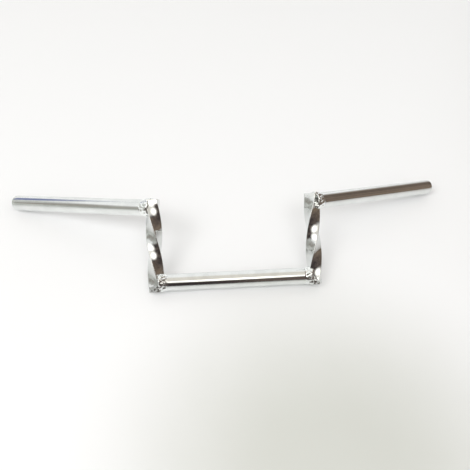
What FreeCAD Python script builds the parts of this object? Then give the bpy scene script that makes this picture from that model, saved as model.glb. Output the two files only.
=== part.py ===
"""Z-bar handlebar: a clamp tube, two twisted square risers and two grip tubes, welded together.

The bar is built flat first, with +X along the clamp tube, +Y up the risers and -Z towards the rider. It is
then laid about the clamp tube's axis, so that the risers' lower ends and the grip tubes' outer ends all lie
on one level. The origin is the middle of the clamp tube. Left is the rider's left, +X. Sizes are millimetres.
"""

import FreeCAD, Part
import math
import os
import Sketcher

Vector = FreeCAD.Vector
Placement = FreeCAD.Placement
Rotation = FreeCAD.Rotation

LEFT, RIGHT = 1, -1

# Driving dimensions: lengths in millimetres, angles in degrees.
SIZES = {
    # Round tube, the same for the clamp tube and both grip tubes.
    "tube_outer": 25.4,
    "tube_wall": 3.0,
    "tube_lip": 0.8,
    # Risers: the distance between their axes, and the height from the clamp tube's axis to the grip tubes'.
    "riser_spacing": 246.0,
    "rise": 115.0,
    # Square bar: its side, the flat that breaks each edge, and how far it stands past the tubes at each end.
    "riser_side": 18.0,
    "riser_edge": 0.8,
    "riser_tail": 1.0,
    "riser_head": 0.2,
    # Twist from end to end, and the turn of a corner of the lower end from the front towards +X.
    "riser_twist": 172.0,
    "left_riser_turn": 22.0,
    "right_riser_turn": 28.0,
    # Grip tubes: length from the riser's axis, sweep towards the rider and lift along the risers.
    "grip_reach": 265.0,
    "pull_back": 27.0,
    "up_sweep": 5.0,
    # Weld beads: reach along the tube, lap back over the bar, height over the tube and bevel under the bead.
    "weld_leg": 3.5,
    "weld_lap": 8.0,
    "weld_crown": 2.6,
    "weld_prep": 1.5,
}

doc = FreeCAD.newDocument("z_bar_handlebar")
sheet = doc.addObject("Spreadsheet::Sheet", "Sizes")
for row, (alias, value) in enumerate(SIZES.items(), start=1):
    sheet.set(f"A{row}", alias)
    sheet.set(f"B{row}", str(value))
    sheet.setAlias(f"B{row}", alias)
doc.recompute()

# Distances that several pieces share, as expressions of the sheet's cells.
TUBE_RADIUS = "Sizes.tube_outer / 2"
BORE_RADIUS = "(Sizes.tube_outer / 2 - Sizes.tube_wall)"
RISER_LENGTH = "(Sizes.riser_tail + Sizes.tube_outer + Sizes.rise + Sizes.riser_head)"
# A tube's square end stands clear of the twisted bar's corners, also where the tube leans along the bar.
LOWER_ROOT = "(Sizes.riser_side / sqrt(2))"
UPPER_ROOT = (
    "(Sizes.riser_side / sqrt(2) / cos(Sizes.up_sweep * 1 deg)"
    " + Sizes.tube_outer / 2 * abs(tan(Sizes.up_sweep * 1 deg)))"
)


def number(expression):
    return float(sheet.evalExpression(expression))


def new_sketch(body, name, role):
    """A sketch on one of its body's own origin planes."""
    sketch = body.newObject("Sketcher::SketchObject", name)
    plane = next(feature for feature in body.Origin.OriginFeatures if feature.Role == role)
    sketch.AttachmentSupport = [(plane, "")]
    sketch.MapMode = "FlatFace"
    return sketch


def bind(sketch, constraint, expression):
    index = sketch.addConstraint(constraint)
    sketch.setExpression(f"Constraints[{index}]", expression)


def outline(sketch, corners):
    """Draw a closed outline through corners, each a pair of expressions that hold its place."""
    points = [Vector(number(x), number(y), 0) for x, y in corners]
    count = len(points)
    for index in range(count):
        sketch.addGeometry(Part.LineSegment(points[index], points[(index + 1) % count]))
    for index in range(count):
        sketch.addConstraint(Sketcher.Constraint("Coincident", index, 2, (index + 1) % count, 1))
    for index, (x, y) in enumerate(corners):
        bind(sketch, Sketcher.Constraint("DistanceX", -1, 1, index, 1, points[index].x), x)
        bind(sketch, Sketcher.Constraint("DistanceY", -1, 1, index, 1, points[index].y), y)


def revolved(name, corners):
    """A body turned about its own X axis, from an outline of distances along the axis and radii."""
    body = doc.addObject("PartDesign::Body", name)
    sketch = new_sketch(body, f"{name}_section", "XY_Plane")
    outline(sketch, corners)
    turned = body.newObject("PartDesign::Revolution", f"{name}_turned")
    turned.Profile = sketch
    turned.ReferenceAxis = (sketch, ["H_Axis"])
    turned.Angle = 360
    return body


def clamp_tube():
    """The middle tube, measured from the right riser's axis, with both ends bevelled for their welds."""
    toe = f"({LOWER_ROOT} + Sizes.weld_leg)"
    bevel = f"{TUBE_RADIUS} - Sizes.weld_prep"
    return revolved(
        "clamp_tube",
        [
            (LOWER_ROOT, BORE_RADIUS),
            (LOWER_ROOT, bevel),
            (toe, TUBE_RADIUS),
            (f"Sizes.riser_spacing - {toe}", TUBE_RADIUS),
            (f"Sizes.riser_spacing - {LOWER_ROOT}", bevel),
            (f"Sizes.riser_spacing - {LOWER_ROOT}", BORE_RADIUS),
        ],
    )


def grip_tube(name):
    """A grip tube, measured from its riser's axis: bevelled for its weld, with its outer edge broken."""
    return revolved(
        name,
        [
            (UPPER_ROOT, BORE_RADIUS),
            (UPPER_ROOT, f"{TUBE_RADIUS} - Sizes.weld_prep"),
            (f"{UPPER_ROOT} + Sizes.weld_leg", TUBE_RADIUS),
            ("Sizes.grip_reach - Sizes.tube_lip", TUBE_RADIUS),
            ("Sizes.grip_reach", f"{TUBE_RADIUS} - Sizes.tube_lip"),
            ("Sizes.grip_reach", BORE_RADIUS),
        ],
    )


def weld_ring(name, root):
    """A round of weld on a tube's end: it fills the bevel, closes the end and laps over the bar's sides."""
    back = f"({root} - Sizes.weld_lap)"
    axis = "0 mm"
    return revolved(
        name,
        [
            (back, axis),
            (back, f"{TUBE_RADIUS} + Sizes.weld_crown"),
            (f"{root} + Sizes.weld_leg", TUBE_RADIUS),
            (root, f"{TUBE_RADIUS} - Sizes.weld_prep"),
            (root, axis),
        ],
    )


def riser_section(body, name):
    """The bar's square section, centred on its axis, with each edge broken by a small flat."""
    half = "(Sizes.riser_side / 2)"
    flat = "(Sizes.riser_side / 2 - Sizes.riser_edge)"
    sketch = new_sketch(body, f"{name}_section", "XY_Plane")
    outline(
        sketch,
        [
            (half, f"-{flat}"),
            (half, flat),
            (flat, half),
            (f"-{flat}", half),
            (f"-{half}", flat),
            (f"-{half}", f"-{flat}"),
            (f"-{flat}", f"-{half}"),
            (flat, f"-{half}"),
        ],
    )
    return sketch


def riser_axis(body, name):
    """The bar's straight axis, up from its lower end."""
    sketch = new_sketch(body, f"{name}_axis", "XZ_Plane")
    length = number(RISER_LENGTH)
    sketch.addGeometry(Part.LineSegment(Vector(0, 0, 0), Vector(0, length, 0)))
    sketch.addConstraint(Sketcher.Constraint("Coincident", 0, 1, -1, 1))
    sketch.addConstraint(Sketcher.Constraint("PointOnObject", 0, 2, -2))
    bind(sketch, Sketcher.Constraint("DistanceY", 0, 1, 0, 2, length), RISER_LENGTH)
    return sketch


def riser(name, hand):
    """A square bar twisted evenly from end to end: its section turns with a helix as it runs up the axis."""
    helix = doc.addObject("Part::Helix", f"{name}_twist")
    helix.LocalCoord = hand
    helix.setExpression("Radius", "Sizes.riser_side / 2")
    helix.setExpression("Height", RISER_LENGTH)
    helix.setExpression("Pitch", f"{RISER_LENGTH} * 360 / Sizes.riser_twist")
    body = doc.addObject("PartDesign::Body", name)
    section = riser_section(body, name)
    axis = riser_axis(body, name)
    doc.recompute()
    bar = body.newObject("PartDesign::AdditivePipe", f"{name}_bar")
    bar.Profile = section
    bar.Spine = (axis, ["Edge1"])
    bar.Mode = "Auxiliary"
    bar.AuxiliarySpine = (helix, ["Edge1"])
    bar.AuxiliaryCurvilinear = False
    return body


def riser_place(side, turn):
    """A riser stands up from below the clamp tube, with a corner turned from the front towards +X."""
    foot = Vector(side * number("Sizes.riser_spacing / 2"), -number(f"{TUBE_RADIUS} + Sizes.riser_tail"), 0)
    upright = Rotation(Vector(1, 0, 0), -90)
    section_corner = 45
    corner = Rotation(Vector(0, 0, 1), number(turn) - section_corner)
    return Placement(foot, upright.multiply(corner))


def clamp_place(side):
    """From a riser's axis along the clamp tube, towards the other riser."""
    start = Vector(side * number("Sizes.riser_spacing / 2"), 0, 0)
    inwards = Vector(-side, 0, 0)
    return Placement(start, Rotation(Vector(1, 0, 0), inwards))


def grip_place(side):
    """From a riser's axis along its grip tube: outwards, back towards the rider and slightly up."""
    start = Vector(side * number("Sizes.riser_spacing / 2"), number("Sizes.rise"), 0)
    back = math.radians(number("Sizes.pull_back"))
    lift = math.radians(number("Sizes.up_sweep"))
    level = math.cos(lift)
    outwards = Vector(side * level * math.cos(back), math.sin(lift), -level * math.sin(back))
    return Placement(start, Rotation(Vector(1, 0, 0), outwards))


def lay_angle(risers, grips):
    """The turn about +X, in degrees, that brings the risers' and the grip tubes' lowest points level."""
    fineness = number("Sizes.riser_edge / 8")
    riser_points = [point for body in risers for point in body.Shape.tessellate(fineness)[0]]
    grip_points = [point for body in grips for point in body.Shape.tessellate(fineness)[0]]

    def lowest(points, angle):
        return min(point.y * math.sin(angle) + point.z * math.cos(angle) for point in points)

    flat, upright = 0.0, math.pi / 2
    halvings = 40
    for _ in range(halvings):
        angle = (flat + upright) / 2
        if lowest(grip_points, angle) < lowest(riser_points, angle):
            flat = angle
        else:
            upright = angle
    return math.degrees(flat)


def weld_bead(name, ring, bar):
    """A weld bead: its ring, cut to the faces of the twisted bar that it lies on."""
    bead = doc.addObject("Part::Cut", name)
    bead.Base = ring
    bead.Tool = bar
    return bead


def check(pieces):
    for item in doc.Objects:
        if "Invalid" in item.State or "Error" in item.State:
            raise RuntimeError(f"{item.Label} did not build: {item.State}")
    for piece in pieces:
        if piece.Shape.isNull() or not piece.Shape.isValid() or len(piece.Shape.Solids) != 1:
            raise RuntimeError(f"{piece.Label} is not one sound solid")


left_riser = riser("left_riser", "Right-handed")
right_riser = riser("right_riser", "Left-handed")
left_grip = grip_tube("left_grip_tube")
right_grip = grip_tube("right_grip_tube")
clamp = clamp_tube()
left_lower_ring = weld_ring("left_lower_ring", LOWER_ROOT)
right_lower_ring = weld_ring("right_lower_ring", LOWER_ROOT)
left_upper_ring = weld_ring("left_upper_ring", UPPER_ROOT)
right_upper_ring = weld_ring("right_upper_ring", UPPER_ROOT)

left_riser.Placement = riser_place(LEFT, "Sizes.left_riser_turn")
right_riser.Placement = riser_place(RIGHT, "Sizes.right_riser_turn")
clamp.Placement = clamp_place(RIGHT)
left_grip.Placement = grip_place(LEFT)
right_grip.Placement = grip_place(RIGHT)
left_lower_ring.Placement = clamp_place(LEFT)
right_lower_ring.Placement = clamp_place(RIGHT)
left_upper_ring.Placement = grip_place(LEFT)
right_upper_ring.Placement = grip_place(RIGHT)
doc.recompute()

bars_and_tubes = [left_riser, right_riser, clamp, left_grip, right_grip]
rings = [left_lower_ring, right_lower_ring, left_upper_ring, right_upper_ring]
turn = Rotation(Vector(1, 0, 0), lay_angle([left_riser, right_riser], [left_grip, right_grip]))
lay = Placement(Vector(0, 0, 0), turn)
for body in bars_and_tubes + rings:
    body.Placement = lay.multiply(body.Placement)

beads = [
    weld_bead("left_lower_weld", left_lower_ring, left_riser),
    weld_bead("right_lower_weld", right_lower_ring, right_riser),
    weld_bead("left_upper_weld", left_upper_ring, left_riser),
    weld_bead("right_upper_weld", right_upper_ring, right_riser),
]
doc.recompute()

pieces = bars_and_tubes + beads
check(pieces)
os.makedirs("parts", exist_ok=True)
for piece in pieces:
    piece.Shape.exportStep(f"parts/{piece.Label}.step")
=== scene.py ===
"""Looks of a welded Z-bar handlebar: plated round tubes, twisted square risers and rippled weld beads.

The bar lies on a pale, slightly glossy table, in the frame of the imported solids. Lengths are metres.
"""

import math

import bpy
from bpy.props import FloatProperty, FloatVectorProperty, IntProperty, PointerProperty
from mathutils import Matrix, Vector


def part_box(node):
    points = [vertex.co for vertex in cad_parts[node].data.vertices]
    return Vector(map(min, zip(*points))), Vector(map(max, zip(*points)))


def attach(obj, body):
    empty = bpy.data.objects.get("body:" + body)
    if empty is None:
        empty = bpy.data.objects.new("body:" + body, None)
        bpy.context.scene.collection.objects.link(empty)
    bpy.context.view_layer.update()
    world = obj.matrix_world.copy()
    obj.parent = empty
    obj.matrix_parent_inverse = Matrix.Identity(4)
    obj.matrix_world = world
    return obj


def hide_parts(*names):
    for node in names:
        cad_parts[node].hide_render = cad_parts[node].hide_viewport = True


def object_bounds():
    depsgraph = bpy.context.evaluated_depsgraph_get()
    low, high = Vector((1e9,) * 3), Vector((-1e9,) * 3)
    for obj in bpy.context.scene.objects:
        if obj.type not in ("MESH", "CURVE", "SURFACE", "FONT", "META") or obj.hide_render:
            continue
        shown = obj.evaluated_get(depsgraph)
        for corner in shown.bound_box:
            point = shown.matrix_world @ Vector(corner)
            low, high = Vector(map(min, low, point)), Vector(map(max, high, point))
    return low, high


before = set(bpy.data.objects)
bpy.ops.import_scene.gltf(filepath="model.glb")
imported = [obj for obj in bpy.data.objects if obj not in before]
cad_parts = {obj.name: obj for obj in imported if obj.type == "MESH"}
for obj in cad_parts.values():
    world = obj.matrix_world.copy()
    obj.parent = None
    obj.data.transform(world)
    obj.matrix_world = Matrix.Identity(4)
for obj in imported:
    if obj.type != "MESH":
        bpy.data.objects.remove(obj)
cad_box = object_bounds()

bl_info = {
    "name": "Z-bar handlebar",
    "version": (1, 0, 0),
    "blender": (4, 5, 0),
    "location": "3D View > Sidebar > Handlebar",
    "description": "Models the plated tubes, twisted risers and weld beads of a Z-bar handlebar",
    "category": "Object",
}

LEFT, RIGHT = 1, -1
SIDES = {"left": LEFT, "right": RIGHT}
TINY = 1e-5
FULL_TURN = 2 * math.pi


def length(name, description, default):
    return FloatProperty(name=name, description=description, default=default, unit="LENGTH", precision=5)


def angle(name, description, degrees):
    return FloatProperty(name=name, description=description, default=math.radians(degrees), unit="ROTATION")


def colour(name, description, default):
    return FloatVectorProperty(
        name=name, description=description, default=default, subtype="COLOR", min=0, max=1
    )


def share(name, description, default):
    return FloatProperty(name=name, description=description, default=default, min=0, max=1)


class BarSizes(bpy.types.PropertyGroup):
    """Sizes of the bar. The main ones are those of the solids that it stands for."""

    tube_outer: length("Tube diameter", "Outer diameter of the clamp tube and the grip tubes", 0.0254)
    tube_wall: length("Tube wall", "Wall thickness of the tubes", 0.003)
    tube_lip: length("Lip round", "Rounding of a grip tube's outer edge", 0.0008)
    riser_spacing: length("Riser spacing", "Distance between the axes of the two risers", 0.246)
    rise: length("Rise", "From the clamp tube's axis to the grip tubes' axes, along the risers", 0.115)
    riser_side: length("Riser side", "Side of the risers' square section", 0.018)
    riser_edge: length("Riser edge", "Rounding of the risers' long edges", 0.0009)
    riser_tail: length("Riser tail", "How far a riser stands past the clamp tube", 0.001)
    riser_head: length("Riser head", "How far a riser stands past its grip tube", 0.0002)
    riser_twist: angle("Twist", "Twist of a riser from end to end", 172)
    riser_hold: length("Held end", "Length of a riser's end that was held while it was twisted", 0.007)
    left_turn: angle("Left turn", "Turn of the left riser's lower corner from the front towards +X", 22)
    right_turn: angle("Right turn", "Turn of the right riser's lower corner from the front towards +X", 28)
    grip_reach: length("Grip reach", "Length of a grip tube from its riser's axis", 0.265)
    pull_back: angle("Pull-back", "Sweep of the grip tubes towards the rider", 27)
    up_sweep: angle("Up-sweep", "Lift of the grip tubes along the risers", 5)
    lay: angle("Lay", "Turn about the clamp tube that lays the bar on the table", 39.1786)
    weld_leg: length("Weld leg", "Reach of a bead along its tube", 0.0035)
    lower_lap: length("Lower lap", "Lap of a lower bead back over its riser", 0.0095)
    upper_lap: length("Upper lap", "Lap of an upper bead back over its riser", 0.0115)
    weld_crown: length("Weld crown", "Height of a bead over its tube", 0.0026)
    weld_prep: length("Weld bevel", "Depth of the tube's bevel under the bead", 0.0015)
    weld_ripple: length("Weld ripple", "Height of the ripples that a bead was laid in", 0.0005)
    weld_lump: length("Weld lump", "Height of a bead's larger unevenness", 0.0028)
    tail_lump: length("Tail lump", "Height of the weld metal's unevenness on a riser's lower end", 0.0028)
    end_buff: length("Buffed end", "Length of a grip tube's end that polishing has drawn in", 0.009)
    end_draw: length("Buffed depth", "How far the polishing has drawn that end in", 0.0004)
    ripples: IntProperty(name="Ripples", description="Ripples round a whole bead", default=16, min=8, max=60)


class BarFinish(bpy.types.PropertyGroup):
    """Finish of the bright plating."""

    # Both plating colours are the metal's own brightness with a slight green added as a painted reflection
    # tint, standing for the cast of the pale table that it mirrors.
    bright: colour("Bright", "Plating where it is cleanest", (0.845, 0.865, 0.855))
    dull: colour("Dull", "Plating where it is a little hazy", (0.755, 0.775, 0.765))
    gloss: share("Gloss", "Roughness of the cleanest plating", 0.08)
    haze: share("Haze", "Roughness of hazy plating", 0.15)


class StageLook(bpy.types.PropertyGroup):
    """Table, light and camera."""

    table: colour("Table", "Colour of the table", (0.895, 0.898, 0.902))
    # The table's greyer part is painted shade, standing for light falling off on the table in front of the
    # bar.
    grey: colour("Table shade", "Colour of the table's greyer part", (0.62, 0.63, 0.59))
    table_gloss: share("Table gloss", "Roughness of the table", 0.16)
    wall: colour("Wall", "Light from the walls", (1.0, 1.0, 0.99))
    ceiling: colour("Ceiling", "Light from the ceiling", (0.80, 0.75, 0.68))
    # The cloth and card colours below glow by themselves as painted light, standing for the lit room that
    # only reflections show.
    dark: colour("Dark cloth", "Darkest part of the cloth behind the camera", (0.048, 0.038, 0.038))
    umber: colour("Umber cloth", "Lightest part of the cloth behind the camera", (0.145, 0.112, 0.095))
    brown: colour("Brown cloth", "Darkest part of the cloth on the right", (0.120, 0.092, 0.076))
    tan: colour("Tan cloth", "Lightest part of the cloth on the right", (0.225, 0.170, 0.130))
    black: colour("Black card", "Card beside the camera", (0.018, 0.016, 0.016))
    dim: colour("Dim cloth", "Darkest part of the cloth on the left", (0.42, 0.42, 0.39))
    pale: colour("Pale cloth", "Lightest part of the cloth on the left", (0.80, 0.81, 0.77))
    blue: colour("Blue card", "Card at the far left", (0.22, 0.25, 0.42))
    lamp: FloatProperty(name="Lamp", description="Power of the stronger lamp", default=48, unit="POWER")
    room: share("Room", "Strength of the room's light on the table", 0.74)
    eye: FloatVectorProperty(
        name="Camera place",
        description="Where the camera stands",
        default=(-0.0720, -0.5256, 0.7648),
        unit="LENGTH",
    )
    yaw: angle("Camera yaw", "Turn of the camera from +Y towards +X", 7.183)
    pitch: angle("Camera pitch", "Tilt of the camera below the horizon", 51.070)
    roll: angle("Camera roll", "Turn of the camera about its line of sight", 3.070)
    lens: FloatProperty(
        name="Lens", description="Focal length in millimetres on a 36 mm sensor", default=45.96
    )


# Modelling helpers


def pick(piece, test):
    """In edit mode, select those of a piece's points whose place passes the test, and nothing else."""
    bpy.ops.object.mode_set(mode="EDIT")
    bpy.ops.mesh.select_mode(type="VERT")
    bpy.ops.mesh.select_all(action="DESELECT")
    bpy.ops.object.mode_set(mode="OBJECT")
    for point in piece.data.vertices:
        point.select = test(point.co)
    bpy.ops.object.mode_set(mode="EDIT")


def pick_edges(piece, test):
    """In edit mode, select those of a piece's edges whose two ends pass the test, and nothing else."""
    bpy.ops.object.mode_set(mode="EDIT")
    bpy.ops.mesh.select_mode(type="EDGE")
    bpy.ops.mesh.select_all(action="DESELECT")
    bpy.ops.object.mode_set(mode="OBJECT")
    points = piece.data.vertices
    for edge in piece.data.edges:
        edge.select = test(points[edge.vertices[0]].co, points[edge.vertices[1]].co)
    bpy.ops.object.mode_set(mode="EDIT")


def new_piece(name):
    """Name the primitive that was just added."""
    piece = bpy.context.object
    piece.name = name
    piece.data.name = name
    return piece


def plate(name, start, end, inner, outer):
    """A flat plate on the plane of the X axis, from start to end along it and from inner to outer off it."""
    bpy.ops.object.select_all(action="DESELECT")
    bpy.ops.mesh.primitive_plane_add(size=1, location=((start + end) / 2, (inner + outer) / 2, 0))
    piece = new_piece(name)
    bpy.ops.transform.resize(value=(end - start, outer - inner, 1))
    bpy.ops.object.transform_apply(location=True, rotation=True, scale=True)
    return piece


def spin_section(piece, steps):
    """Turn a flat section into a closed body about the X axis, without an edge that lies on the axis."""
    bpy.ops.object.mode_set(mode="EDIT")
    bpy.ops.mesh.select_all(action="SELECT")
    bpy.ops.mesh.delete(type="ONLY_FACE")
    pick_edges(piece, lambda a, b: abs(a.y) < TINY and abs(b.y) < TINY)
    bpy.ops.mesh.delete(type="EDGE")
    bpy.ops.mesh.select_mode(type="VERT")
    bpy.ops.mesh.select_all(action="SELECT")
    bpy.ops.mesh.spin(steps=steps, angle=FULL_TURN, center=(0, 0, 0), axis=(1, 0, 0))
    bpy.ops.mesh.select_all(action="SELECT")
    bpy.ops.mesh.remove_doubles(threshold=TINY / 10)
    bpy.ops.mesh.select_all(action="SELECT")
    bpy.ops.mesh.normals_make_consistent(inside=False)


def cut_across(stations, axis):
    """Cut the whole mesh in edit mode at each of the stations along an axis."""
    for station in stations:
        bpy.ops.mesh.select_all(action="SELECT")
        bpy.ops.mesh.bisect(plane_co=axis * station, plane_no=axis)


def put(piece, place):
    """Move a piece to its place, and leave the place in its mesh."""
    bpy.ops.object.mode_set(mode="OBJECT")
    piece.matrix_world = place
    bpy.ops.object.select_all(action="DESELECT")
    piece.select_set(True)
    bpy.context.view_layer.objects.active = piece
    bpy.ops.object.transform_apply(location=True, rotation=True, scale=True)


def apply_modifier(piece, kind, **settings):
    modifier = piece.modifiers.new(kind.lower(), kind)
    for setting, value in settings.items():
        setattr(modifier, setting, value)
    bpy.ops.object.modifier_apply(modifier=modifier.name)


def raise_surface(piece, name, weights, height, lump=None):
    """Raise a piece's points along their normals, each by its weight: evenly, or in soft lumps of a size."""
    group = piece.vertex_groups.new(name=name)
    for index, weight in weights.items():
        group.add([index], weight, "REPLACE")
    if lump is None:
        apply_modifier(piece, "DISPLACE", strength=height, mid_level=0, vertex_group=name)
        return
    clouds = bpy.data.textures.new(name, "CLOUDS")
    clouds.noise_scale = lump
    clouds.noise_depth = 0
    apply_modifier(
        piece,
        "DISPLACE",
        texture=clouds,
        texture_coords="LOCAL",
        strength=height,
        mid_level=0.5,
        vertex_group=name,
    )


def smooth(piece, sharpest):
    bpy.ops.object.select_all(action="DESELECT")
    piece.select_set(True)
    bpy.context.view_layer.objects.active = piece
    bpy.ops.object.shade_smooth_by_angle(angle=math.radians(sharpest))


def hand_over(piece, node, material):
    """Let a finished piece stand for its solid, once it is in the solid's place."""
    furthest = 0.004
    low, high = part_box(node)
    corners = [piece.matrix_world @ Vector(corner) for corner in piece.bound_box]
    for axis in range(3):
        reach = [corner[axis] for corner in corners]
        if abs(min(reach) - low[axis]) > furthest or abs(max(reach) - high[axis]) > furthest:
            raise RuntimeError(f"{piece.name} is not where {node} is")
    piece.data.materials.clear()
    piece.data.materials.append(material)
    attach(piece, "root")
    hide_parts(node)


# Places of the pieces


def laid(sizes, place):
    """A place on the bar built flat, turned with the bar as it lies on the table."""
    return Matrix.Rotation(sizes.lay, 4, "X") @ place


def along(start, direction):
    """A place whose X axis runs from start in a direction."""
    turn = Vector((1, 0, 0)).rotation_difference(direction)
    return Matrix.Translation(start) @ turn.to_matrix().to_4x4()


def clamp_place(sizes, side):
    """From a riser's axis along the clamp tube, towards the other riser."""
    start = Vector((side * sizes.riser_spacing / 2, 0, 0))
    return laid(sizes, along(start, Vector((-side, 0, 0))))


def grip_place(sizes, side):
    """From a riser's axis along its grip tube."""
    start = Vector((side * sizes.riser_spacing / 2, sizes.rise, 0))
    level = math.cos(sizes.up_sweep)
    aside = side * level * math.cos(sizes.pull_back)
    back = -level * math.sin(sizes.pull_back)
    return laid(sizes, along(start, Vector((aside, math.sin(sizes.up_sweep), back))))


def riser_length(sizes):
    return sizes.riser_tail + sizes.tube_outer + sizes.rise + sizes.riser_head


def riser_place(sizes, side):
    """From a riser's lower end up its axis, which is the place's Z axis."""
    turn = sizes.left_turn if side == LEFT else sizes.right_turn
    foot = Vector((side * sizes.riser_spacing / 2, -sizes.tube_outer / 2 - sizes.riser_tail, 0))
    upright = Matrix.Rotation(-math.pi / 2, 4, "X")
    lead = side * sizes.riser_twist * sizes.riser_hold / (riser_length(sizes) - 2 * sizes.riser_hold)
    corner = Matrix.Rotation(turn - math.pi / 4 - lead, 4, "Z")
    return laid(sizes, Matrix.Translation(foot) @ upright @ corner)


def lower_root(sizes):
    """Distance from a riser's axis to the clamp tube's end."""
    return sizes.riser_side / math.sqrt(2)


def upper_root(sizes):
    """Distance from a riser's axis to its grip tube's end."""
    lean = sizes.tube_outer / 2 * abs(math.tan(sizes.up_sweep))
    return sizes.riser_side / math.sqrt(2) / math.cos(sizes.up_sweep) + lean


# Materials


def add_node(tree, kind, inputs=None, **settings):
    """Add a node, with its settings, and give each named input a value or another node's output."""
    made = tree.nodes.new(kind)
    for setting, value in settings.items():
        setattr(made, setting, value)
    for socket, value in (inputs or {}).items():
        if isinstance(value, bpy.types.NodeSocket):
            tree.links.new(value, made.inputs[socket])
        else:
            made.inputs[socket].default_value = value
    return made


def ramp(tree, factor, stops, blend="LINEAR"):
    """A colour ramp through stops, each a position and a colour."""
    made = add_node(tree, "ShaderNodeValToRGB", {"Fac": factor})
    made.color_ramp.interpolation = blend
    elements = made.color_ramp.elements
    elements[0].position, elements[0].color = stops[0]
    elements[1].position, elements[1].color = stops[-1]
    for position, shade in stops[1:-1]:
        elements.new(position).color = shade
    return made.outputs["Color"]


def grey(value):
    return (value, value, value, 1)


def opaque(shade):
    return (*shade, 1)


def new_material(name):
    material = bpy.data.materials.new(name)
    material.use_nodes = True
    material.node_tree.nodes.clear()
    return material, material.node_tree


def noise(tree, place, scale, detail):
    inputs = {"Vector": place, "Scale": scale, "Detail": detail}
    return add_node(tree, "ShaderNodeTexNoise", inputs).outputs["Fac"]


def round_fall(tree, place):
    """One at the origin of a place, falling to nothing at a distance of one."""
    made = add_node(tree, "ShaderNodeTexGradient", {"Vector": place}, gradient_type="SPHERICAL")
    return made.outputs["Fac"]


def remap(tree, value, start, end, low=0, high=1):
    """A value that runs from low to high while another runs from start to end."""
    limits = {"From Min": start, "From Max": end, "To Min": low, "To Max": high}
    return add_node(tree, "ShaderNodeMapRange", {"Value": value, **limits}).outputs["Result"]


def combine(tree, operation, first, second, **settings):
    made = add_node(tree, "ShaderNodeMath", {0: first, 1: second}, operation=operation, **settings)
    return made.outputs["Value"]


def raised(tree, height, strength, depth, **settings):
    """A node that raises a surface by a height."""
    inputs = {"Height": height, "Strength": strength, "Distance": depth}
    return add_node(tree, "ShaderNodeBump", inputs, **settings)


def plating(name, finish, direction, wave, pits, satin=0, painted_light_scale=1):
    """Bright plating over polished steel: waves, polishing lines along a direction, haze and small pits.

    A satin share leaves it rougher all over, as on weld metal; a last factor scales its colours, to paint a
    copy lighter as painted light or darker as painted shade.
    """
    line_scale = (40, 2600, 2600)
    haze_scale, wave_scale, pit_scale = 55, 120, 420
    line_depth, pit_depth = 4e-6, 3e-5
    line_rough = 0.05
    material, tree = new_material(name)
    place = add_node(tree, "ShaderNodeTexCoord").outputs["Object"]
    turn = direction.rotation_difference(Vector((1, 0, 0))).to_euler()
    lengthwise = add_node(tree, "ShaderNodeMapping", {"Vector": place, "Rotation": turn}).outputs["Vector"]
    drawn = add_node(tree, "ShaderNodeMapping", {"Vector": lengthwise, "Scale": line_scale}).outputs["Vector"]
    lines = noise(tree, drawn, scale=1, detail=3)
    clouds = noise(tree, place, haze_scale, detail=5)
    broad = noise(tree, place, wave_scale, detail=1)
    specks = add_node(tree, "ShaderNodeTexVoronoi", {"Vector": place, "Scale": pit_scale}).outputs["Distance"]
    pitted = ramp(tree, specks, [(0.0, grey(1)), (pits, grey(0)), (1.0, grey(0))])
    # Painted light and shade: the plating's colours are scaled up for a lighter copy or down for a darker
    # copy of the same plating.
    clean, hazed = (opaque(painted_light_scale * Vector(shade)) for shade in (finish.bright, finish.dull))
    shade = ramp(tree, clouds, [(0.35, clean), (0.75, hazed)])
    hazy = remap(tree, clouds, 0.45, 0.8, finish.gloss, finish.haze)
    lined = remap(tree, lines, 0.45, 0.75, satin, satin + line_rough)
    rough = combine(tree, "ADD", hazy, lined)
    waved = raised(tree, broad, 1.0, wave)
    brushed = raised(tree, lines, 0.5, line_depth)
    dented = raised(tree, pitted, 0.6, pit_depth, invert=True)
    tree.links.new(waved.outputs["Normal"], brushed.inputs["Normal"])
    tree.links.new(brushed.outputs["Normal"], dented.inputs["Normal"])
    surface = {"Base Color": shade, "Metallic": 1.0, "Roughness": rough, "Normal": dented.outputs["Normal"]}
    shader = add_node(tree, "ShaderNodeBsdfPrincipled", surface)
    add_node(tree, "ShaderNodeOutputMaterial", {"Surface": shader.outputs["BSDF"]})
    return material


# Operators, one for each group of like pieces


class HANDLEBAR_OT_clamp_tube(bpy.types.Operator):
    """Model the straight tube between the risers"""

    bl_idname = "handlebar.clamp_tube"
    bl_label = "Clamp tube"

    def execute(self, context):
        sizes, finish = context.scene.bar_sizes, context.scene.bar_finish
        root = lower_root(sizes)
        far = sizes.riser_spacing - root
        tube = spun_tube(sizes, "plated_clamp_tube", root, far, bevelled=(root, far), lipped=False)
        put(tube, clamp_place(sizes, RIGHT))
        smooth(tube, 30)
        material = plating("plated_clamp_tube", finish, Vector((1, 0, 0)), wave=6e-6, pits=0.02)
        hand_over(tube, "clamp_tube", material)
        return {"FINISHED"}


class HANDLEBAR_OT_grip_tubes(bpy.types.Operator):
    """Model the two grip tubes, open at their outer ends"""

    bl_idname = "handlebar.grip_tubes"
    bl_label = "Grip tubes"

    def execute(self, context):
        sizes, finish = context.scene.bar_sizes, context.scene.bar_finish
        root = upper_root(sizes)
        for word, side in SIDES.items():
            name = f"plated_{word}_grip_tube"
            tube = spun_tube(sizes, name, root, sizes.grip_reach, bevelled=(root,), lipped=True)
            place = grip_place(sizes, side)
            put(tube, place)
            smooth(tube, 30)
            lengthwise = place.to_3x3() @ Vector((1, 0, 0))
            material = plating(name, finish, lengthwise, wave=6e-6, pits=0.02)
            hand_over(tube, f"{word}_grip_tube", material)
        return {"FINISHED"}


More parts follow.
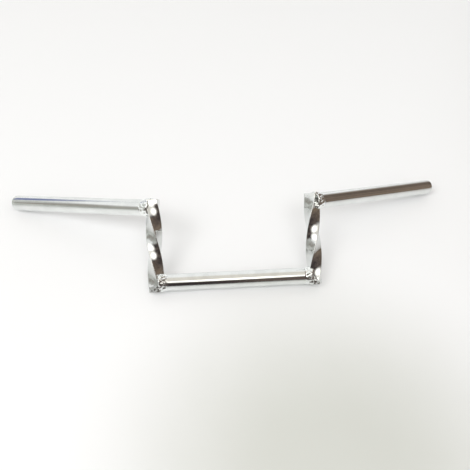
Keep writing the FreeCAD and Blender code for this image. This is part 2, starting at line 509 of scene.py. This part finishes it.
def spun_tube(sizes, name, start, end, bevelled, lipped):
    """A tube about the X axis: its wall's section is rounded at a lip, spun, and narrowed under its welds."""
    steps = 128
    outer = sizes.tube_outer / 2
    inner = outer - sizes.tube_wall
    tube = plate(name, start, end, inner, outer)
    if lipped:
        pick(tube, lambda p: p.x > end - TINY and p.y > outer - TINY)
        bpy.ops.mesh.bevel(offset=sizes.tube_lip, segments=5, affect="VERTICES")
        pick(tube, lambda p: p.x > end - TINY and p.y < inner + TINY)
        bpy.ops.mesh.bevel(offset=sizes.tube_lip / 2, segments=3, affect="VERTICES")
    spin_section(tube, steps)
    spacing = 0.012
    count = int((end - start) / spacing)
    stations = [start + (end - start) * step / count for step in range(1, count)]
    support = 2 * sizes.tube_lip
    for weld in bevelled:
        inwards = 1 if weld == start else -1
        stations += [weld + inwards * sizes.weld_leg, weld + inwards * (sizes.weld_leg + support)]
    cut_across(stations, Vector((1, 0, 0)))
    for weld in bevelled:
        narrow_rings(tube, weld, weld, outer, sizes.weld_prep)
    if lipped:
        buff_end(sizes, tube, end)
    return tube


def narrow_rings(tube, start, end, outer, depth):
    """Draw the rings of a tube's outer surface between two stations in towards the axis."""
    pick(tube, lambda p: start - TINY < p.x < end + TINY and math.hypot(p.y, p.z) > outer - depth)
    shrink = (outer - depth) / outer
    bpy.ops.transform.resize(value=(1, shrink, shrink), center_override=(start, 0, 0))


def buff_end(sizes, tube, end):
    """Draw the last of a tube in, more and more towards its end, as polishing leaves it."""
    rings = 6
    outer = sizes.tube_outer / 2
    begin = end - sizes.end_buff
    reach = sizes.end_buff - sizes.tube_lip
    stations = [begin + reach * ring / rings for ring in range(rings)]
    bpy.ops.object.mode_set(mode="EDIT")
    cut_across(stations, Vector((1, 0, 0)))
    for ring in range(1, rings):
        narrow_rings(tube, stations[ring], stations[ring], outer, sizes.end_draw * (ring / rings) ** 2)
    narrow_rings(tube, end - sizes.tube_lip, end, outer - sizes.tube_lip / 2, sizes.end_draw)


class HANDLEBAR_OT_risers(bpy.types.Operator):
    """Model the two twisted square risers"""

    bl_idname = "handlebar.risers"
    bl_label = "Twisted risers"

    def execute(self, context):
        sizes, finish = context.scene.bar_sizes, context.scene.bar_finish
        for word, side in SIDES.items():
            name = f"plated_{word}_riser"
            riser = twisted_bar(sizes, name, side)
            place = riser_place(sizes, side)
            put(riser, place)
            smooth(riser, 50)
            lengthwise = place.to_3x3() @ Vector((0, 0, 1))
            # The risers' plating is painted darker, as painted shade standing for the shaded table near the
            # bar that their faces mirror.
            material = plating(name, finish, lengthwise, wave=1.2e-5, pits=0.02, painted_light_scale=0.88)
            hand_over(riser, f"{word}_riser", material)
        return {"FINISHED"}


def twisted_bar(sizes, name, side):
    """A square bar with rounded edges, cut into short lengths and twisted evenly between its held ends."""
    tall = riser_length(sizes)
    half = sizes.riser_side / 2
    lengths = 140
    bpy.ops.object.select_all(action="DESELECT")
    bpy.ops.mesh.primitive_cube_add(size=1, location=(0, 0, tall / 2))
    bar = new_piece(name)
    bpy.ops.transform.resize(value=(2 * half, 2 * half, tall))
    bpy.ops.object.transform_apply(location=True, rotation=True, scale=True)
    pick_edges(bar, lambda a, b: abs(a.z - b.z) > tall / 2)
    bpy.ops.mesh.bevel(offset=sizes.riser_edge, segments=4, affect="EDGES")
    pick_edges(bar, lambda a, b: abs(a.z - b.z) < TINY and (a.z < TINY or a.z > tall - TINY))
    bpy.ops.mesh.bevel(offset=sizes.riser_edge / 2, segments=2, affect="EDGES")
    bpy.ops.mesh.select_mode(type="VERT")
    support = half - 1.5 * sizes.riser_edge
    strips = 8
    across = [support * (2 * strip / strips - 1) for strip in range(strips + 1)]
    cut_across(across, Vector((1, 0, 0)))
    cut_across(across, Vector((0, 1, 0)))
    pick_edges(bar, lambda a, b: abs(a.z - b.z) > tall / 2)
    bpy.ops.mesh.subdivide(number_cuts=lengths)
    bpy.ops.mesh.select_mode(type="VERT")
    bpy.ops.mesh.select_all(action="SELECT")
    bpy.ops.mesh.normals_make_consistent(inside=False)
    bpy.ops.object.mode_set(mode="OBJECT")
    held = sizes.riser_hold / tall
    apply_modifier(
        bar,
        "SIMPLE_DEFORM",
        deform_method="TWIST",
        deform_axis="Z",
        angle=side * sizes.riser_twist,
        limits=(held, 1 - held),
    )
    lump_reach, plain_end, lump_size = 0.013, 0.003, 0.004
    weights = {}
    for point in bar.data.vertices:
        weights[point.index] = max(0, 1 - point.co.z / lump_reach) * min(1, point.co.z / plain_end)
    raise_surface(bar, "weld_metal", weights, sizes.tail_lump, lump_size)
    return bar


class HANDLEBAR_OT_weld_beads(bpy.types.Operator):
    """Model the weld beads between the tubes and the risers"""

    bl_idname = "handlebar.weld_beads"
    bl_label = "Weld beads"

    def execute(self, context):
        sizes, finish = context.scene.bar_sizes, context.scene.bar_finish
        joints = {
            "lower": (lower_root(sizes), sizes.lower_lap, clamp_place),
            "upper": (upper_root(sizes), sizes.upper_lap, grip_place),
        }
        crosswise = Vector((1, 0, 0))
        # The welds' plating is painted lighter, as painted light standing for lamp glints that bloom on their
        # lumps.
        material = plating("plated_weld", finish, crosswise, wave=1e-5, pits=0.03, satin=0.10, painted_light_scale=1.1)
        lump_size = 0.0046
        for word, side in SIDES.items():
            riser = bpy.data.objects[f"plated_{word}_riser"]
            for end, (root, lap, place) in joints.items():
                bead = weld_ring(sizes, f"plated_{word}_{end}_bead", root, lap)
                weights = ripple_weights(sizes, bead, root, lap)
                put(bead, place(sizes, side))
                raise_surface(bead, "ripples", weights["ripples"], sizes.weld_ripple)
                raise_surface(bead, "lumps", weights["lumps"], sizes.weld_lump, lump_size)
                apply_modifier(bead, "BOOLEAN", operation="DIFFERENCE", solver="EXACT", object=riser)
                smooth(bead, 60)
                hand_over(bead, f"{word}_{end}_weld", material)
        return {"FINISHED"}


def weld_ring(sizes, name, root, lap):
    """A round of weld about the X axis: it fills the tube's bevel, closes its end and laps over the riser."""
    outer = sizes.tube_outer / 2
    crest = outer + sizes.weld_crown
    back, toe = root - lap, root + sizes.weld_leg
    ring = plate(name, back, toe, 0, crest)
    pick(ring, lambda p: p.x > toe - TINY and p.y > TINY)
    bpy.ops.transform.translate(value=(0, outer - crest, 0))
    pick(ring, lambda p: p.x > toe - TINY and p.y < TINY)
    bpy.ops.transform.translate(value=(root - toe, 0, 0))
    pick_edges(ring, lambda a, b: min(a.x, b.x) > root - TINY)
    bpy.ops.mesh.subdivide(number_cuts=1)
    pick(ring, lambda p: p.x > root + TINY and TINY < p.y < outer - TINY)
    bpy.ops.transform.translate(value=((root - toe) / 2, outer / 2 - sizes.weld_prep, 0))
    pick(ring, lambda p: p.x < back + TINY and p.y > outer)
    bpy.ops.mesh.bevel(offset=sizes.weld_crown, segments=6, affect="VERTICES")
    points_per_ripple = 12
    spin_section(ring, points_per_ripple * sizes.ripples)
    slices = 16
    cut_across([back + (toe - back) * cut / slices for cut in range(2, slices)], Vector((1, 0, 0)))
    return ring


def ripple_weights(sizes, bead, root, lap):
    """How far each point of a bead is raised, in bowed ripples and in lumps that die out at the toe."""
    bow = 1.5
    wide = lap + sizes.weld_leg
    weights = {"ripples": {}, "lumps": {}}
    bpy.ops.object.mode_set(mode="OBJECT")
    for point in bead.data.vertices:
        x, y, z = point.co
        if math.hypot(y, z) > sizes.tube_outer / 2 - TINY:
            from_toe = min(1, max(0, (root + sizes.weld_leg - x) / wide))
            wave = math.cos(math.atan2(z, y) * sizes.ripples + bow * math.cos(math.pi * from_toe))
            weights["ripples"][point.index] = math.sin(math.pi * from_toe) * (0.5 + 0.5 * wave)
            weights["lumps"][point.index] = math.sqrt(from_toe)
    return weights


class HANDLEBAR_OT_stage(bpy.types.Operator):
    """Set the table, the light and the camera"""

    bl_idname = "handlebar.stage"
    bl_label = "Table, light and camera"

    def execute(self, context):
        look = context.scene.stage_look
        lay_table(look)
        hang_screens(look)
        hang_lamps(look)
        light_room(context.scene, look)
        aim_camera(context.scene, look)
        context.scene.view_settings.view_transform = "Standard"
        return {"FINISHED"}


def lay_table(look):
    """A pale table with a soft painted shade, greyer in front of the bar's left end, standing for light that
    falls off there.
    """
    bpy.ops.object.select_all(action="DESELECT")
    bpy.ops.mesh.primitive_plane_add(size=8, location=(0, 0, cad_box[0].z))
    table = new_piece("table")
    bpy.ops.object.transform_apply(location=True, rotation=True, scale=True)
    material, tree = new_material("table")
    place = add_node(tree, "ShaderNodeTexCoord").outputs["Object"]
    cloud = noise(tree, place, scale=9, detail=3)
    # Painted shade: the table greys softly about this point, as light falling off there would leave it.
    middle = Vector((0.098, -0.30, 0))
    reach = 0.375
    nearness = {"Vector": place, "Location": -middle / reach, "Scale": (1 / reach, 1 / reach, 0)}
    toward = add_node(tree, "ShaderNodeMapping", nearness).outputs["Vector"]
    painted_shade_patch = round_fall(tree, toward)
    uneven = remap(tree, cloud, 0.3, 0.7, 0.93, 1.0)
    painted_shade_fall = combine(tree, "MULTIPLY", painted_shade_patch, uneven)
    shade = ramp(tree, painted_shade_fall, [(0.0, opaque(look.table)), (0.8, opaque(look.grey))], "EASE")
    surface = {"Base Color": shade, "Roughness": look.table_gloss, "IOR": 1.45}
    shader = add_node(tree, "ShaderNodeBsdfPrincipled", surface)
    add_node(tree, "ShaderNodeOutputMaterial", {"Surface": shader.outputs["BSDF"]})
    table.data.materials.append(material)


def cloth(name, shades, bearings, top, soft):
    """A sheet that glows in patches of two colours, as painted light standing for dim lit cloth, and thins
    out towards its sides and its top.
    """
    material, tree = new_material(name)
    darker, lighter = shades
    first, last = bearings
    soft_side, soft_top = soft
    place = add_node(tree, "ShaderNodeTexCoord").outputs["Object"]
    patches = noise(tree, place, scale=1.2, detail=2)
    shade = ramp(tree, patches, [(0.38, opaque(darker)), (0.62, opaque(lighter))])
    # Painted light: the cloth's colours glow by themselves instead of being lit by the lamps.
    glow = add_node(tree, "ShaderNodeEmission", {"Color": shade, "Strength": 1.0}).outputs["Emission"]
    clear = add_node(tree, "ShaderNodeBsdfTransparent").outputs["BSDF"]
    ahead = add_node(tree, "ShaderNodeMapping", {"Vector": place, "Rotation": (0, 0, (first + last) / 2)})
    way = add_node(tree, "ShaderNodeSeparateXYZ", {"Vector": ahead.outputs["Vector"]}).outputs
    bearing = combine(tree, "ARCTAN2", way["X"], way["Y"])
    aside = add_node(tree, "ShaderNodeMath", {0: bearing}, operation="ABSOLUTE").outputs["Value"]
    side = (last - first) / 2
    thin_side = remap(tree, aside, side - soft_side, side)
    thin_top = remap(tree, way["Z"], top - soft_top, top)
    thin = combine(tree, "MAXIMUM", thin_side, thin_top)
    cover = add_node(tree, "ShaderNodeMixShader", {"Fac": thin, 1: glow, 2: clear}).outputs["Shader"]
    add_node(tree, "ShaderNodeOutputMaterial", {"Surface": cover})
    return material


def show_in_plating_alone(thing):
    """Leave a thing on the stage to be seen in reflections and in nothing else."""
    thing.visible_camera = False
    thing.visible_diffuse = False
    thing.visible_shadow = False


def hang_screen(name, shades, radius, bearings, lifts, soft):
    """A curved screen about the bar, between two bearings and two lifts in degrees, with a soft rim."""
    first, last = (math.radians(bearing) for bearing in bearings)
    low, high = (radius * math.tan(math.radians(lift)) for lift in lifts)
    bottom, top = max(low, cad_box[0].z), high
    soft_side = math.radians(soft[0])
    soft_top = top - radius * math.tan(math.radians(lifts[1] - soft[1]))
    bpy.ops.object.select_all(action="DESELECT")
    bpy.ops.mesh.primitive_cylinder_add(
        vertices=180,
        radius=radius,
        depth=top - bottom,
        end_fill_type="NOTHING",
        location=(0, 0, (bottom + top) / 2),
    )
    screen = new_piece(name)
    bpy.ops.object.transform_apply(location=True, rotation=True, scale=True)
    pick(screen, lambda p: not first < math.atan2(p.x, p.y) % FULL_TURN < last)
    bpy.ops.mesh.delete(type="VERT")
    bpy.ops.object.mode_set(mode="OBJECT")
    screen.data.materials.append(cloth(name, shades, (first, last), top, (soft_side, soft_top)))
    show_in_plating_alone(screen)


def hang_screens(look):
    """Brown cloth on the right, dark cloth and a black card behind the camera, paler cloth on the left."""
    # Each of these glows with its own colours, as painted light, and is seen only in reflections.
    brown = (look.brown, look.tan)
    dark = (look.dark, look.umber)
    black = (look.black, look.dark)
    pale = (look.dim, look.pale)
    dusky = (look.tan, look.dim)
    blue = (look.blue, look.blue)
    hang_screen("right_screen", brown, radius=2.60, bearings=(30, 124), lifts=(-5, 72), soft=(18, 10))
    hang_screen("front_screen", dark, radius=2.64, bearings=(90, 240), lifts=(-5, 64), soft=(16, 12))
    hang_screen("camera_card", black, radius=2.40, bearings=(170, 191), lifts=(-5, 40), soft=(7, 8))
    hang_screen("left_screen", pale, radius=2.62, bearings=(220, 320), lifts=(-5, 34), soft=(16, 8))
    hang_screen("left_card", dusky, radius=2.50, bearings=(240, 274), lifts=(12, 34), soft=(15, 12))
    hang_screen("blue_card", blue, radius=2.50, bearings=(292, 324), lifts=(18, 33), soft=(8, 6))


def hang_lamps(look):
    """Two lamps high behind the camera, the right one a little weaker."""
    material = lamp_cloth()
    hang_lamp("right", material, bearing=172, lift=58, wide=0.70, tall=0.50, power=look.lamp * 0.8)
    hang_lamp("left", material, bearing=233, lift=53, wide=0.74, tall=0.52, power=look.lamp)


def hang_lamp(word, material, bearing, lift, wide, tall, power):
    """A lamp at a bearing and a lift in degrees, and a soft round panel that stands for it in reflections."""
    near, far = 1.2, 4.0
    halo = 1.4
    spread = far / near
    bearing, lift = math.radians(bearing), math.radians(lift)
    level = math.cos(lift)
    toward = Vector((level * math.sin(bearing), level * math.cos(bearing), math.sin(lift)))
    turn = (-toward).to_track_quat("-Z", "Y").to_euler()
    bpy.ops.object.light_add(type="AREA", location=toward * far, rotation=turn)
    lamp = bpy.context.object
    lamp.name = f"{word}_lamp"
    lamp.data.shape = "ELLIPSE"
    lamp.data.size = wide * spread
    lamp.data.size_y = tall * spread
    lamp.data.energy = power
    lamp.visible_glossy = False
    bpy.ops.mesh.primitive_plane_add(size=1, location=toward * near, rotation=turn)
    panel = new_piece(f"{word}_panel")
    panel.scale = (halo * wide, halo * tall, 1)
    panel.data.materials.append(material)
    show_in_plating_alone(panel)


def lamp_cloth():
    """The bright cloth of a lamp panel, which fades towards its round rim."""
    material, tree = new_material("lamp_cloth")
    place = add_node(tree, "ShaderNodeTexCoord").outputs["Object"]
    across = add_node(tree, "ShaderNodeMapping", {"Vector": place, "Scale": (2, 2, 2)}).outputs["Vector"]
    inwards = round_fall(tree, across)
    cover = ramp(tree, inwards, [(0.0, grey(0)), (0.8, grey(1))], "EASE")
    light = {"Color": (1.0, 0.97, 0.92, 1), "Strength": 2.4}
    glow = add_node(tree, "ShaderNodeEmission", light).outputs["Emission"]
    clear = add_node(tree, "ShaderNodeBsdfTransparent").outputs["BSDF"]
    shown = add_node(tree, "ShaderNodeMixShader", {"Fac": cover, 1: clear, 2: glow}).outputs["Shader"]
    add_node(tree, "ShaderNodeOutputMaterial", {"Surface": shown})
    return material


def light_room(scene, look):
    """A pale room: bright walls under a warmer ceiling, which light the table less than they show."""
    world = bpy.data.worlds.new("room")
    world.use_nodes = True
    tree = world.node_tree
    tree.nodes.clear()
    toward = add_node(tree, "ShaderNodeTexCoord").outputs["Generated"]
    up = add_node(tree, "ShaderNodeSeparateXYZ", {"Vector": toward}).outputs["Z"]
    wall, ceiling = opaque(look.wall), opaque(look.ceiling)
    shade = ramp(tree, up, [(0.0, wall), (0.75, wall), (0.95, ceiling)])
    rays = add_node(tree, "ShaderNodeLightPath").outputs
    shown = combine(tree, "ADD", rays["Is Camera Ray"], rays["Is Glossy Ray"])
    shown = combine(tree, "ADD", shown, rays["Is Transmission Ray"], use_clamp=True)
    strength = remap(tree, shown, 0, 1, low=look.room)
    light = add_node(tree, "ShaderNodeBackground", {"Color": shade, "Strength": strength})
    add_node(tree, "ShaderNodeOutputWorld", {"Surface": light.outputs["Background"]})
    scene.world = world


def aim_camera(scene, look):
    """A camera that looks down at the bar from the front, turned a little to one side."""
    level = math.cos(look.pitch)
    ahead = Vector((math.sin(look.yaw) * level, math.cos(look.yaw) * level, -math.sin(look.pitch)))
    across = Vector((math.cos(look.yaw), -math.sin(look.yaw), 0))
    turn = Matrix((across, across.cross(ahead), -ahead)).transposed() @ Matrix.Rotation(look.roll, 3, "Z")
    bpy.ops.object.camera_add(location=look.eye, rotation=turn.to_euler())
    camera = bpy.context.object
    camera.name = "camera"
    camera.data.sensor_width = 36
    camera.data.lens = look.lens
    scene.camera = camera


class HANDLEBAR_PT_panel(bpy.types.Panel):
    """Sizes, finish and stage of the handlebar, and a button for each group of pieces"""

    bl_idname = "HANDLEBAR_PT_panel"
    bl_label = "Z-bar handlebar"
    bl_space_type = "VIEW_3D"
    bl_region_type = "UI"
    bl_category = "Handlebar"

    def draw(self, context):
        for group in (context.scene.bar_sizes, context.scene.bar_finish, context.scene.stage_look):
            column = self.layout.column(align=True)
            for name in group.__annotations__:
                column.prop(group, name)
        for operator in OPERATORS:
            self.layout.operator(operator.bl_idname)


GROUPS = {"bar_sizes": BarSizes, "bar_finish": BarFinish, "stage_look": StageLook}
OPERATORS = (
    HANDLEBAR_OT_clamp_tube,
    HANDLEBAR_OT_grip_tubes,
    HANDLEBAR_OT_risers,
    HANDLEBAR_OT_weld_beads,
    HANDLEBAR_OT_stage,
)


def register():
    for made in (*GROUPS.values(), *OPERATORS, HANDLEBAR_PT_panel):
        bpy.utils.register_class(made)
    for name, group in GROUPS.items():
        setattr(bpy.types.Scene, name, PointerProperty(type=group))


def unregister():
    for name in GROUPS:
        delattr(bpy.types.Scene, name)
    for made in (HANDLEBAR_PT_panel, *reversed(OPERATORS), *reversed(GROUPS.values())):
        bpy.utils.unregister_class(made)


def main():
    register()
    bpy.ops.handlebar.clamp_tube()
    bpy.ops.handlebar.grip_tubes()
    bpy.ops.handlebar.risers()
    bpy.ops.handlebar.weld_beads()
    bpy.ops.handlebar.stage()


if __name__ == "__main__":
    main()
